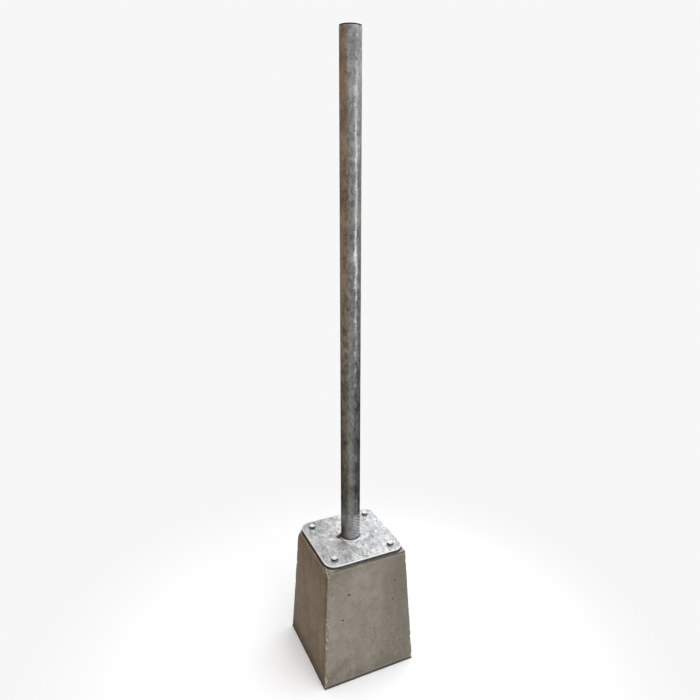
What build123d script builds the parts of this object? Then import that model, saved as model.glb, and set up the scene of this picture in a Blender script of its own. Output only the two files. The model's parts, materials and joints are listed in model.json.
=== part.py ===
from build123d import *
import os

# A free-standing post: a hot-dip galvanised round tube welded to a square base plate, which four hex
# bolts hold down on a tapered precast concrete block. Millimetres, +Z up, the origin at the centre of
# the block's underside, the front towards -Y.

# Concrete block
block_base_side = 310
block_ledge = 2  # concrete that shows beyond the plate's straight edges
block_height = 400
block_corner_chamfer = 4
block_rim_chamfer = 1.5

# Base plate
plate_side = 260
plate_thickness = 10
plate_corner_radius = 35
plate_edge_round = 0.8
drain_hole_diameter = 40  # under the tube, where the zinc runs out of it
bolt_pitch = 190
bolt_hole_diameter = 12

# Post tube, the common 2 inch pipe size, with its foot bevelled for the fillet weld round it
tube_diameter = 60.3
tube_wall = 3.2
tube_length = 1500
tube_bevel_depth = 2  # the bevel is as high as the weld
weld_leg = 6
weld_crown = 0.8  # how far the weld's face bulges past a straight 45 degree one

# End cap
cap_flange_diameter = 59.4
cap_rim_height = 4  # the flange's straight edge
cap_crown_height = 1.6  # the flange's dome above that edge
cap_edge_round = 1.5  # between the two
cap_skirt_length = 22
cap_skirt_wall = 2
cap_skirt_gap = 1.6  # between the skirt and the tube's bore
cap_rib_gap = 0.1  # between a rib's tip and the tube's bore
cap_rib_heights = (4, 10, 16)  # below the flange
cap_rib_thickness = 1.2

# M10 hex bolts and flat washers
bolt_diameter = 10
bolt_length = 40
bolt_point_chamfer = 1
head_across_flats = 17
head_height = 6.4
head_chamfer_drop = 1.2  # at the corners of the hexagon
head_chamfer_inset = 0.6  # of the round top face inside the flats
head_cutter_margin = 0.1  # how far the chamfer's cut runs past the corners
washer_diameter = 20
washer_bore = 10.5
washer_thickness = 2

# Threaded sockets cast into the concrete, each held by a cross pin
socket_diameter = 16
socket_length = 60
socket_bore = 10.2
socket_bore_depth = 42
socket_chamfer = 0.5
pin_diameter = 6
pin_length = 44
pin_chamfer = 0.6
pin_height_in_socket = 10

# Heights of the stack, from the floor up
plate_bottom = block_height
plate_top = plate_bottom + plate_thickness
washer_top = plate_top + washer_thickness
tube_top = plate_top + tube_length
socket_bottom = block_height - socket_length
pin_height = socket_bottom + pin_height_in_socket

block_top_side = plate_side + 2 * block_ledge
tube_radius = tube_diameter / 2
tube_bore_radius = tube_radius - tube_wall
half_pitch = bolt_pitch / 2

# Bolt places, and how far each hex head stopped from square when it was tightened
bolt_places = {
    "front_left": (-half_pitch, -half_pitch, -24),
    "front_right": (half_pitch, -half_pitch, 6),
    "back_left": (-half_pitch, half_pitch, -20),
    "back_right": (half_pitch, half_pitch, 4),
}


def write_piece(name, part):
    """Label one finished piece and write it as the node called name."""
    part.label = name
    export_step(part, f"parts/{name}.step")


os.makedirs("parts", exist_ok=True)

# Concrete block: a truncated pyramid with narrow chamfers, cast round the sockets and their pins
with BuildPart() as concrete_block:
    with BuildSketch(Plane.XY):
        Rectangle(block_base_side, block_base_side)
    with BuildSketch(Plane.XY.offset(block_height)):
        Rectangle(block_top_side, block_top_side)
    loft()
    slanting_edges = concrete_block.edges().filter_by(lambda edge: edge.length > block_height)
    chamfer(slanting_edges, block_corner_chamfer)
    top_rim = concrete_block.faces().sort_by(Axis.Z)[-1].edges()
    bottom_rim = concrete_block.faces().sort_by(Axis.Z)[0].edges()
    chamfer(top_rim + bottom_rim, block_rim_chamfer)
    with Locations((0, 0, block_height)):
        with GridLocations(bolt_pitch, bolt_pitch, 2, 2):
            Cylinder(
                socket_diameter / 2,
                socket_length,
                align=(Align.CENTER, Align.CENTER, Align.MAX),
                mode=Mode.SUBTRACT,
            )
    with Locations((0, 0, pin_height)):
        with GridLocations(bolt_pitch, bolt_pitch, 2, 2):
            Cylinder(pin_diameter / 2, pin_length, rotation=(0, 90, 0), mode=Mode.SUBTRACT)
write_piece("concrete_block", concrete_block.part)

# Base plate: round corners, four bolt holes and the drain hole under the tube
with BuildPart() as base_plate:
    with BuildSketch(Plane.XY.offset(plate_bottom)):
        RectangleRounded(plate_side, plate_side, plate_corner_radius)
    extrude(amount=plate_thickness)
    top_outline = base_plate.faces().sort_by(Axis.Z)[-1].edges()
    bottom_outline = base_plate.faces().sort_by(Axis.Z)[0].edges()
    fillet(top_outline + bottom_outline, plate_edge_round)
    with Locations((0, 0, plate_top)):
        Hole(drain_hole_diameter / 2)
        with GridLocations(bolt_pitch, bolt_pitch, 2, 2):
            Hole(bolt_hole_diameter / 2)
write_piece("base_plate", base_plate.part)

# Post tube, cut square at the top and bevelled at the foot
with BuildPart() as post_tube:
    with BuildSketch(Plane.XY.offset(plate_top)):
        Circle(tube_radius)
        Circle(tube_bore_radius, mode=Mode.SUBTRACT)
    extrude(amount=tube_length)
    foot_face = post_tube.faces().sort_by(Axis.Z)[0]
    foot_outer_edge = foot_face.edges().sort_by(SortBy.RADIUS)[-1]
    chamfer(foot_outer_edge, tube_bevel_depth, weld_leg, reference=foot_face)
write_piece("post_tube", post_tube.part)

# Fillet weld: a ring that fills the bevel, its face a slightly bulging arc down to the plate
with BuildPart() as foot_weld:
    with BuildSketch(Plane.XZ):
        with BuildLine():
            weld_root = (tube_radius - tube_bevel_depth, plate_top)
            weld_toe = (tube_radius + weld_leg, plate_top)
            weld_head = (tube_radius, plate_top + weld_leg)
            Polyline(weld_head, weld_root, weld_toe)
            SagittaArc(weld_toe, weld_head, -weld_crown)
        make_face()
    revolve(axis=Axis.Z)
write_piece("foot_weld", foot_weld.part)

# End cap: a domed flange that covers the tube's rim, and a ribbed hollow skirt inside the tube
flange_radius = cap_flange_diameter / 2
dome_radius = (flange_radius**2 + cap_crown_height**2) / (2 * cap_crown_height)
cap_rim_top = tube_top + cap_rim_height
skirt_radius = tube_bore_radius - cap_skirt_gap
skirt_bore_radius = skirt_radius - cap_skirt_wall
skirt_bottom = tube_top - cap_skirt_length
with BuildPart() as end_cap:
    with BuildSketch(Plane.XZ) as cap_profile:
        with BuildLine():
            Polyline(
                (0, cap_rim_top + cap_crown_height),
                (0, tube_top),
                (skirt_bore_radius, tube_top),
                (skirt_bore_radius, skirt_bottom),
                (skirt_radius, skirt_bottom),
                (skirt_radius, tube_top),
                (flange_radius, tube_top),
                (flange_radius, cap_rim_top),
            )
            RadiusArc((flange_radius, cap_rim_top), (0, cap_rim_top + cap_crown_height), -dome_radius)
        make_face()
        flange_rim_corner = cap_profile.vertices().group_by(Axis.X)[-1].sort_by(Axis.Y)[-1]
        fillet(flange_rim_corner, cap_edge_round)
    revolve(axis=Axis.Z)
    rib_radius = tube_bore_radius - cap_rib_gap
    for rib_drop in cap_rib_heights:
        with BuildSketch(Plane.XY.offset(tube_top - rib_drop)):
            Circle(rib_radius)
            Circle(skirt_radius, mode=Mode.SUBTRACT)
        extrude(amount=-cap_rib_thickness)
write_piece("end_cap", end_cap.part)

# The four bolts, each with its washer, cast-in socket and cross pin
head_corner_radius = head_across_flats / 3**0.5
head_cutter_radius = head_corner_radius + head_cutter_margin
head_top = washer_top + head_height
for place, (bolt_x, bolt_y, head_turn) in bolt_places.items():
    with BuildPart() as bolt:
        with BuildSketch(Plane.XY.offset(washer_top)):
            with Locations((bolt_x, bolt_y)):
                RegularPolygon(head_corner_radius, 6, rotation=head_turn)
        extrude(amount=head_height)
        with BuildSketch(Plane(origin=(bolt_x, bolt_y, 0), x_dir=(1, 0, 0), z_dir=(0, -1, 0))):
            with BuildLine():
                chamfer_start = (head_across_flats / 2 - head_chamfer_inset, head_top)
                chamfer_end = (head_cutter_radius, head_top - head_chamfer_drop)
                above_corner = (head_cutter_radius, head_top)
                Polyline(chamfer_start, chamfer_end, above_corner, close=True)
            make_face()
        revolve(axis=Axis((bolt_x, bolt_y, 0), (0, 0, 1)), mode=Mode.SUBTRACT)
        with BuildSketch(Plane.XY.offset(washer_top)):
            with Locations((bolt_x, bolt_y)):
                Circle(bolt_diameter / 2)
        extrude(amount=-bolt_length)
        point_edge = bolt.faces().sort_by(Axis.Z)[0].edges()
        chamfer(point_edge, bolt_point_chamfer)
    write_piece(f"bolt_{place}", bolt.part)

    with BuildPart() as washer:
        with BuildSketch(Plane.XY.offset(plate_top)):
            with Locations((bolt_x, bolt_y)):
                Circle(washer_diameter / 2)
                Circle(washer_bore / 2, mode=Mode.SUBTRACT)
        extrude(amount=washer_thickness)
    write_piece(f"washer_{place}", washer.part)

    with BuildPart() as socket:
        with BuildSketch(Plane.XY.offset(socket_bottom)):
            with Locations((bolt_x, bolt_y)):
                Circle(socket_diameter / 2)
        extrude(amount=socket_length)
        with Locations((bolt_x, bolt_y, block_height)):
            Hole(socket_bore / 2, depth=socket_bore_depth)
        top_circles = socket.edges().filter_by(GeomType.CIRCLE).group_by(Axis.Z)[-1]
        bore_mouth = top_circles.sort_by(SortBy.RADIUS)[0]
        chamfer(bore_mouth, socket_chamfer)
        with Locations((bolt_x, bolt_y, pin_height)):
            Cylinder(pin_diameter / 2, pin_length, rotation=(0, 90, 0), mode=Mode.SUBTRACT)
    write_piece(f"socket_{place}", socket.part)

    with BuildPart() as cross_pin:
        with Locations((bolt_x, bolt_y, pin_height)):
            Cylinder(pin_diameter / 2, pin_length, rotation=(0, 90, 0))
        chamfer(cross_pin.edges().filter_by(GeomType.CIRCLE), pin_chamfer)
    write_piece(f"cross_pin_{place}", cross_pin.part)
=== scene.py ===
"""Looks of a free-standing galvanised post on a tapered concrete block.

Everything is in metres, +Z up, with the front towards -Y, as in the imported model.
"""
import json
from math import cos, hypot, pi, radians, sin, sqrt

import bmesh
import bpy
import numpy as np
from mathutils import Matrix, Vector, geometry, noise


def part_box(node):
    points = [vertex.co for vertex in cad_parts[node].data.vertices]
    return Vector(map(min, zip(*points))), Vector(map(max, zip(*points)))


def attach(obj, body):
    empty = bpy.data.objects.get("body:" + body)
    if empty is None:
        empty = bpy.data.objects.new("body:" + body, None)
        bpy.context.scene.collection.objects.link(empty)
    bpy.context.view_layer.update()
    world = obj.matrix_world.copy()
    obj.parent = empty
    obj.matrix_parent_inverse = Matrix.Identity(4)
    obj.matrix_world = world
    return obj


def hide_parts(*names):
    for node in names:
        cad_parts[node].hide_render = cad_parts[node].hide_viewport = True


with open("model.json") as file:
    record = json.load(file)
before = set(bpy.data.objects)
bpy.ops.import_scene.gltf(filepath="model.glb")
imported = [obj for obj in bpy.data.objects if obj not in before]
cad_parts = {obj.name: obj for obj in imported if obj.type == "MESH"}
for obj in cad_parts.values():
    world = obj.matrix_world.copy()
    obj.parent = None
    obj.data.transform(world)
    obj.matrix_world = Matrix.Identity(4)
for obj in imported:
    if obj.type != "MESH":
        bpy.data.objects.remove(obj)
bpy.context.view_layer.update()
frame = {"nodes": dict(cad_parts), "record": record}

MM = 0.001
SAME = 0.01 * MM  # places nearer than this are the same
TURN = 2 * pi
PLACES = ("front_left", "front_right", "back_left", "back_right")

# The camera stands in front of the post, a little to its left, at a standing person's eye height
CAMERA_DISTANCE = 1.7565
CAMERA_AZIMUTH = radians(-23.91)
CAMERA_HEIGHT = 1.5784
CAMERA_YAW = radians(2.13)
CAMERA_PITCH = radians(15.66)
CAMERA_ROLL = radians(0.59)
CAMERA_LENS = 31.94
CAMERA_SHIFT = (-0.0324, -0.0225)

# Directions in plan, from the post
TO_CAMERA = Vector((sin(CAMERA_AZIMUTH), -cos(CAMERA_AZIMUTH), 0))
TO_CAMERA_RIGHT = Vector((cos(CAMERA_AZIMUTH), sin(CAMERA_AZIMUTH), 0))

BACKDROP = 0.93
# Near-black, for dirt and for painted shade
DIRT = (0.018, 0.016, 0.014)
YELLOW_STAIN = (0.80, 0.76, 0.44)
# Brown for the painted reflection of the tube on the plate
BROWN_STAIN = (0.56, 0.46, 0.41)


# ---- Node helpers: a colour is (red, green, blue), and an input is a value or another node's output

def grey(value, warm=0.0):
    """A grey, warmer where warm is above 0 and cooler below."""
    return (value * (1 + warm), value, value * (1 - warm))


class Tree:
    """The nodes of a material or a world, with a short way to add and join them."""

    def __init__(self, owner):
        owner.use_nodes = True
        self.owner = owner
        self.tree = owner.node_tree
        self.tree.nodes.clear()

    def feed(self, socket, value):
        if isinstance(value, bpy.types.NodeSocket):
            self.tree.links.new(value, socket)
        else:
            socket.default_value = value

    def add(self, kind, inputs=None, **settings):
        """A new node. inputs maps socket names or numbers to what goes in."""
        node = self.tree.nodes.new("ShaderNode" + kind)
        for name, value in settings.items():
            setattr(node, name, value)
        for key, value in (inputs or {}).items():
            self.feed(node.inputs[key], value)
        return node

    def place(self):
        return self.add("TexCoord").outputs["Object"]

    def attribute(self, name):
        return self.add("Attribute", attribute_name=name).outputs["Fac"]

    def math(self, operation, result, *others):
        for other in others:
            result = self.add("Math", {0: result, 1: other}, operation=operation).outputs[0]
        return result

    def plus(self, *terms):
        return self.math("ADD", *terms)

    def times(self, *factors):
        return self.math("MULTIPLY", *factors)

    def vector(self, operation, a, b=(0, 0, 0), output=0):
        return self.add("VectorMath", {0: a, 1: b}, operation=operation).outputs[output]

    def remap(self, value, low, high, to_low=0.0, to_high=1.0, kind="LINEAR"):
        """value from low..high to to_low..to_high, held at the ends."""
        inputs = {"Value": value, "From Min": low, "From Max": high, "To Min": to_low, "To Max": to_high}
        return self.add("MapRange", inputs, interpolation_type=kind).outputs["Result"]

    def ease(self, value, low, high, to_low=0.0, to_high=1.0):
        """remap with soft ends."""
        return self.remap(value, low, high, to_low, to_high, "SMOOTHSTEP")

    def mix(self, cover, under, over, blend="MIX"):
        node = self.add("Mix", data_type="RGBA", blend_type=blend)
        sockets = {s.identifier: s for s in [*node.inputs, *node.outputs]}
        self.feed(sockets["Factor_Float"], cover)
        for name, colour in (("A_Color", under), ("B_Color", over)):
            self.feed(sockets[name], (*colour, 1) if isinstance(colour, tuple) else colour)
        return sockets["Result_Color"]

    def coats(self, colour, *coats):
        """colour under coats of paint. Each coat is its cover and its colour, and may name a blend."""
        for cover, *paint in coats:
            colour = self.mix(cover, colour, *paint)
        return colour

    def noise(self, coords, size, detail, roughness, distortion=0.0, output="Fac"):
        """Noise from 0 to 1 with features of the given size in metres."""
        inputs = {"Vector": coords, "Scale": 1 / size, "Detail": detail}
        inputs |= {"Roughness": roughness, "Distortion": distortion}
        return self.add("TexNoise", inputs).outputs[output]

    def stretched(self, coords, scale, turn=(0, 0, 0)):
        return self.add("Mapping", {"Vector": coords, "Scale": scale, "Rotation": turn}).outputs[0]

    def bump(self, height, distance, strength, under=None):
        inputs = {"Height": height, "Distance": distance, "Strength": strength}
        if under is not None:
            inputs["Normal"] = under
        return self.add("Bump", inputs).outputs[0]

    def end(self, shader, output="OutputMaterial"):
        self.add(output, {0: shader.outputs[0]})

    def surface(self, colour, roughness, normal, metallic=0.0, specular=0.5):
        inputs = {"Base Color": colour, "Roughness": roughness, "Normal": normal, "Metallic": metallic}
        self.end(self.add("BsdfPrincipled", {**inputs, "Specular IOR Level": specular}))
        return self.owner


def new_material(name):
    return Tree(bpy.data.materials.new(name))


# ---- Materials

# stain is the colour of the tarnish mask: a stain on the tube, and the painted reflection of the tube on
# the plate
def galvanised(name, spangle, tone, warmth, contrast=1.0, dull=0.0, stretch=(1, 1, 1), turn=(0, 0, 0),
               stain=YELLOW_STAIN):
    """Hot-dip zinc: crystals of the size spangle under soft clouds, with bright flecks, dull dirt and
    painted shade, rubbed wear and whitish painted highlights.
    """
    t = new_material(name)
    place = t.place()
    wobble = t.noise(place, spangle / 0.7, 5.0, 0.7, output="Color")
    wobble = t.vector("MULTIPLY", wobble, [0.9 * spangle] * 3)
    flow = t.stretched(t.vector("ADD", place, wobble), stretch, turn)
    crystals = t.add("TexVoronoi", {"Vector": flow, "Scale": 1 / spangle}).outputs["Color"]
    chance = t.add("SeparateColor", {"Color": crystals}).outputs
    clouds = t.noise(place, 5 * spangle, 5.0, 0.6)
    mottle = t.noise(flow, 0.9 * spangle, 4.0, 0.65, 0.6)
    grain = t.noise(flow, 0.22 * spangle, 3.0, 0.7)
    splash = t.ease(t.noise(flow, 1.6 * spangle, 5.0, 0.7, 1.0), 0.58, 0.72)
    flecks = t.ease(t.noise(flow, 0.5 * spangle, 2.0, 0.5, 0.8), 0.63, 0.70)
    shade = tone
    for layer, low, high, swing in (
        (chance[0], 0, 1, 0.05),
        (clouds, 0.3, 0.7, 0.10),
        (mottle, 0.35, 0.65, 0.09),
        (grain, 0.3, 0.7, 0.07),
        (splash, -1, 1, 0.09),
        (flecks, -1, 1, 0.22),
    ):
        swing *= contrast
        shade = t.plus(shade, t.remap(layer, low, high, -swing, swing))
    bluish = t.add("CombineColor", {0: shade, 1: t.times(shade, 1.015), 2: t.times(shade, 1.022)})
    # Dirt and painted shade together: darker, rougher and less metallic
    dirt = t.times(t.attribute("grime"), t.remap(mottle, 0.25, 0.6, 0.7, 1.0))
    rubbed = t.attribute("rubbed")
    warm_spots = t.ease(t.noise(place, 4 * spangle, 4.0, 0.6), 0.52, 0.70, 0, warmth)
    colour = t.coats(
        bluish.outputs[0],
        (warm_spots, (0.92, 0.84, 0.74), "MULTIPLY"),
        # Whitish and less metallic: painted highlights on the plate's arris and round the foot, and rubbed
        # wear on the tube's ridge crests
        (t.times(rubbed, t.remap(grain, 0.3, 0.5, 0.6, 1.0)), grey(0.97, -0.01)),
        # Tarnish: stains on the tube, and on the plate the painted reflection of the tube
        (t.times(t.attribute("tarnish"), t.remap(mottle, 0.35, 0.6, 0.3, 1.0)), stain),
        (dirt, DIRT),
    )
    gloss = t.plus(
        t.remap(chance[1], 0, 1, 0.30 + dull, 0.40 + dull),
        t.remap(clouds, 0.3, 0.7, 0, 0.12),
        t.remap(grain, 0.3, 0.7, -0.04, 0.06),
        t.times(dirt, 0.45),
        t.times(flecks, -0.08),
    )
    tilt = t.vector("SUBTRACT", crystals, (0.5, 0.5, 0.5))
    tilt = t.vector("MULTIPLY", tilt, [0.10 * contrast] * 3)
    skin = t.vector("NORMALIZE", t.vector("ADD", t.add("NewGeometry").outputs["Normal"], tilt))
    skin = t.bump(mottle, 0.35 * MM, 0.8, skin)
    skin = t.bump(grain, 0.12 * MM, 0.6, skin)
    skin = t.bump(t.noise(place, 1.6 * MM, 4.0, 0.65), 0.08 * MM, 0.6, skin)
    metal = t.times(t.remap(dirt, 0.4, 1, 1, 0.05), t.remap(rubbed, 0, 1, 1, 0.2))
    return t.surface(colour, gloss, skin, metal, 0.2)


def concrete():
    """Precast concrete: grey and brown clouds, rain streaks, scuffs, sand grain, pale chips, painted shade
    in the air holes, under the plate and along the foot, painted warm light on the left face, and a painted
    highlight above the foot.
    """
    t = new_material("precast_concrete")
    place = t.place()
    height = t.add("SeparateXYZ", {0: place}).outputs[2]
    clouds = t.noise(t.stretched(place, (1, 1, 0.55)), 0.10, 5.0, 0.6, 0.5)
    blotches = t.noise(place, 0.028, 6.0, 0.68, 0.3)
    streaks = t.noise(t.stretched(place, (1, 1, 0.08)), 0.016, 5.0, 0.65)
    scuffs = t.noise(t.stretched(place, (1, 1, 0.35), (0.0, 0.9, 0.0)), 0.010, 6.0, 0.72, 1.2)
    sand = t.noise(place, 1.4 * MM, 3.0, 0.7)
    dark_sand = t.noise(place, 2.6 * MM, 3.0, 0.7)
    to_speck = t.add("TexVoronoi", {"Vector": place, "Scale": 1 / (6 * MM)}).outputs["Distance"]
    some = t.ease(t.noise(place, 0.03, 3.0, 0.6), 0.50, 0.62)
    specks = t.times(t.remap(to_speck, 0.08, 0.18, 1, 0), some)
    low_down = t.ease(height, 0.10, 0.24, 1.0, 0.25)
    rust = t.times(t.attribute("stain"), t.remap(streaks, 0.35, 0.62, 0.3, 1.0))
    worn = t.times(t.attribute("wear"), t.remap(sand, 0.3, 0.55, 0.45, 1.0))
    colour = t.coats(
        (0.335, 0.290, 0.238),
        (t.remap(clouds, 0.35, 0.65), (0.445, 0.400, 0.345)),
        (t.remap(blotches, 0.48, 0.70, 0, 0.60), (0.235, 0.200, 0.152)),
        (t.remap(streaks, 0.52, 0.74, 0, 0.30), (0.25, 0.205, 0.15)),
        # Painted warm light on the left face, and browner patches
        (t.attribute("brown"), (1.13, 1.04, 0.91), "MULTIPLY"),
        # Darker concrete, with painted shade along the top of the front face
        (t.attribute("shade"), (0.60, 0.62, 0.585), "MULTIPLY"),
        (t.times(t.remap(scuffs, 0.54, 0.68, 0, 0.70), low_down), (0.54, 0.49, 0.42)),
        (t.times(t.remap(scuffs, 0.45, 0.33, 0, 0.80), low_down), (0.19, 0.165, 0.13)),
        (t.ease(height, 0.0, 0.06, 0.45, 0.0), (0.215, 0.185, 0.148)),
        # A painted highlight above the foot, and below it near-black painted shade, with dirt, along the
        # foot
        (t.ease(height, 11 * MM, 15 * MM, 0.25, 0.0), (0.50, 0.46, 0.38)),
        (t.ease(height, 7.5 * MM, 10 * MM, 0.97, 0.0), (0.020, 0.018, 0.016)),
        (t.remap(sand, 0.38, 0.62, 0.0, 0.36), (0.50, 0.46, 0.41)),
        (t.remap(dark_sand, 0.55, 0.72, 0.0, 0.5), (0.18, 0.155, 0.125)),
        (t.times(specks, 0.75), (0.11, 0.095, 0.075)),
        (t.times(rust, 0.85), (0.17, 0.115, 0.058)),
        (t.times(worn, 0.9), (0.68, 0.60, 0.48)),
        # Painted shade under the plate's edge, on the ledge and in the air holes
        (t.times(t.attribute("pit"), 0.92), (0.035, 0.03, 0.025)),
    )
    skin = t.bump(sand, 0.25 * MM, 0.8)
    skin = t.bump(blotches, 1.2 * MM, 0.5, skin)
    skin = t.bump(t.noise(place, 5 * MM, 6.0, 0.65), 0.6 * MM, 0.7, skin)
    skin = t.bump(specks, -0.6 * MM, 0.8, skin)
    return t.surface(colour, t.remap(blotches, 0.3, 0.7, 0.78, 0.95), skin, specular=0.35)


def zinc_plating():
    """Bright electroplated zinc on the bolts and washers, with painted shade, dark and dull, on the head
    sides and the washers.
    """
    t = new_material("zinc_plated_fastener")
    place = t.place()
    cloud = t.noise(place, 7 * MM, 5.0, 0.65)
    grain = t.noise(place, 0.7 * MM, 3.0, 0.6)
    dirt = t.times(t.attribute("grime"), t.remap(cloud, 0.3, 0.6, 0.75, 1.0))
    colour = t.coats(
        grey(0.84, 0.01),
        (t.remap(cloud, 0.3, 0.7), grey(0.97, -0.01)),
        (t.remap(grain, 0.5, 0.8, 0, 0.35), grey(0.6, 0.02)),
        (dirt, DIRT),
    )
    gloss = t.plus(t.remap(cloud, 0.3, 0.7, 0.44, 0.30), t.times(dirt, 0.3))
    skin = t.bump(cloud, 0.10 * MM, 0.5, t.bump(grain, 0.05 * MM, 0.6))
    return t.surface(colour, gloss, skin, t.remap(dirt, 0, 0.9, 0.5, 0.05))


def turned_steel():
    """Bare turned steel of the cast-in sockets and their cross pins, with a brown bloom."""
    t = new_material("turned_steel")
    place = t.place()
    rings = t.noise(t.stretched(place, (0.06, 0.06, 1)), 1.2 * MM, 2.0, 0.5)
    bloom = t.noise(place, 12 * MM, 4.0, 0.6)
    colour = t.coats(
        grey(0.42, 0.02),
        (t.remap(rings, 0.3, 0.7), grey(0.56)),
        (t.remap(bloom, 0.5, 0.75, 0, 0.6), (0.28, 0.19, 0.12)),
    )
    return t.surface(colour, t.remap(bloom, 0.4, 0.7, 0.32, 0.6), t.bump(rings, 0.04 * MM, 0.6), 1.0)


def black_plastic():
    """Moulded black polyethylene: fine matt grain, dusty and scuffed in places."""
    t = new_material("moulded_black_plastic")
    place = t.place()
    dust = t.noise(place, 14 * MM, 5.0, 0.65)
    scuffs = t.noise(t.stretched(place, (1, 0.12, 1), (0, 0, 0.6)), 2.5 * MM, 3.0, 0.6)
    grain = t.noise(place, 0.5 * MM, 2.0, 0.5)
    colour = t.coats(
        grey(0.007),
        (t.remap(dust, 0.5, 0.8, 0, 0.4), (0.05, 0.047, 0.043)),
        (t.remap(scuffs, 0.62, 0.75, 0, 0.5), grey(0.07)),
    )
    gloss = t.plus(t.remap(dust, 0.4, 0.8, 0.38, 0.62), t.remap(scuffs, 0.5, 0.8, 0, 0.12))
    skin = t.bump(scuffs, 0.05 * MM, 0.4, t.bump(grain, 0.04 * MM, 0.7))
    return t.surface(colour, gloss, skin, specular=0.3)


# ---- Mesh helpers

def field(points, size, octaves, seed):
    """Smooth noise from about -1 to 1 at each point. size, of its features, is one or three numbers."""
    scaled = np.asarray(points, float) / np.asarray(size, float)
    shift = Vector((seed * 7.31, seed * 3.17, seed * 5.53))
    return np.array([noise.fractal(Vector(p) + shift, 1.0, 2.0, octaves) for p in scaled])


def ramp(value, low, high):
    """0 below low, 1 above high, and smooth between."""
    share = np.clip((value - low) / (high - low), 0, 1)
    return share * share * (3 - 2 * share)


def fall(value, low, high):
    """1 below low, 0 above high, and smooth between."""
    return 1 - ramp(value, low, high)


def bell(value, width, power=2):
    """1 at 0, and less on both sides."""
    return np.exp(-((value / width) ** power))


def most(*layers):
    return np.max(layers, axis=0)


def lengths(vectors):
    return np.linalg.norm(vectors, axis=1)


def places_of(vertices):
    return np.array([v.co for v in vertices])


def cad_places(node):
    return places_of(frame["nodes"][node].data.vertices)


def bearings(places):
    """The angle of each place in plan, about the post."""
    return np.arctan2(places[:, 1], places[:, 0])


def apart(angle, other):
    """The angle between two directions in plan, from 0 to pi."""
    return np.abs((angle - other + pi) % TURN - pi)


def around(node):
    """A round node's centre in plan, and its vertices' radii, heights and angles about that centre."""
    low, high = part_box(node)
    centre = np.array([low.x + high.x, low.y + high.y]) / 2
    points = cad_places(node)
    points[:, :2] -= centre
    return centre, lengths(points[:, :2]), points[:, 2], bearings(points)


def move_to(shape, places):
    for v, place in zip(shape.verts, places):
        v.co = place


def ring_places(radius, height, angle):
    return np.stack([radius * np.cos(angle), radius * np.sin(angle), height], axis=2)


def closed(name, shape):
    """The mesh of a finished bmesh."""
    mesh = bpy.data.meshes.new(name)
    shape.to_mesh(mesh)
    shape.free()
    return mesh


def add_object(name, data):
    thing = bpy.data.objects.new(name, data)
    bpy.context.scene.collection.objects.link(thing)
    return thing


def add_piece(mesh, node, finish=None, **values):
    """The mesh as the piece that replaces node. Each of values is a number per vertex, for the material."""
    for name, numbers in values.items():
        numbers = np.asarray(numbers, np.float32)
        mesh.attributes.new(name, "FLOAT", "POINT").data.foreach_set("value", numbers)
    for face in mesh.polygons:
        face.use_smooth = True
    slot = slot_of_node[node]
    mesh.materials.append(finish or finishes[slot])
    piece = add_object(mesh.name, mesh)
    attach(piece, "root")
    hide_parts(node)


def softened(profile, size, steps, closed=True):
    """The profile with each corner cut back by size (or half a short side) and rounded.

    size is one number, or one for each corner."""
    points = [np.array(p, float) for p in profile]
    count = len(points)
    sizes = np.broadcast_to(size, count)
    result = []
    for i, corner in enumerate(points):
        if not closed and i in (0, count - 1):
            result.append(corner)
            continue
        before, after = points[i - 1] - corner, points[(i + 1) % count] - corner
        to_before, to_after = np.linalg.norm(before), np.linalg.norm(after)
        cut = min(sizes[i], 0.45 * to_before, 0.45 * to_after)
        start = corner + before / to_before * cut
        end = corner + after / to_after * cut
        for t in np.arange(steps + 1) / steps:
            result.append((1 - t) ** 2 * start + 2 * t * (1 - t) * corner + t * t * end)
    return result


def turned_mesh(name, profile, segments, shape=None, centre=(0, 0)):
    """A profile of (radius, height) points turned about a vertical axis.

    The profile goes up on the outside. It closes on itself unless it starts and ends on the axis.
    shape(radius, height, angle) may move the points, and gets and returns arrays of one row per ring.
    """
    rings = len(profile)
    radius, height = (np.repeat(np.array(profile)[:, [k]], segments, axis=1) for k in (0, 1))
    angle = np.repeat([np.linspace(0, TURN, segments, endpoint=False)], rings, axis=0)
    on_axis = radius[0, 0] == 0 and radius[-1, 0] == 0
    if shape is not None:
        radius, height = shape(radius, height, angle)
    points = ring_places(radius, height, angle).reshape(-1, 3) + [*centre, 0]
    faces = []
    for i in range(rings - 1 if on_axis else rings):
        here, above = i * segments, (i + 1) % rings * segments
        for j in range(segments):
            k = (j + 1) % segments
            faces.append((here + j, here + k, above + k, above + j))
    mesh = bpy.data.meshes.new(name)
    mesh.from_pydata(points.tolist(), [], faces)
    if on_axis:
        poles = bmesh.new()
        poles.from_mesh(mesh)
        ends = poles.verts[:]
        bmesh.ops.remove_doubles(poles, verts=ends[:segments] + ends[-segments:], dist=1e-7)
        poles.to_mesh(mesh)
        poles.free()
    mesh.update()
    return mesh


# ---- Stage, light and camera

def make_camera():
    data = bpy.data.cameras.new("camera")
    data.lens = CAMERA_LENS
    data.sensor_width = 36
    data.shift_x, data.shift_y = CAMERA_SHIFT
    camera = add_object("camera", data)
    place = TO_CAMERA * CAMERA_DISTANCE + Vector((0, 0, CAMERA_HEIGHT))
    turn = Matrix.Rotation(CAMERA_AZIMUTH - CAMERA_YAW, 4, "Z")
    tilt = Matrix.Rotation(pi / 2 - CAMERA_PITCH, 4, "X")
    roll = Matrix.Rotation(CAMERA_ROLL, 4, "Z")
    camera.matrix_world = Matrix.Translation(place) @ turn @ tilt @ roll
    bpy.context.scene.camera = camera


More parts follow.
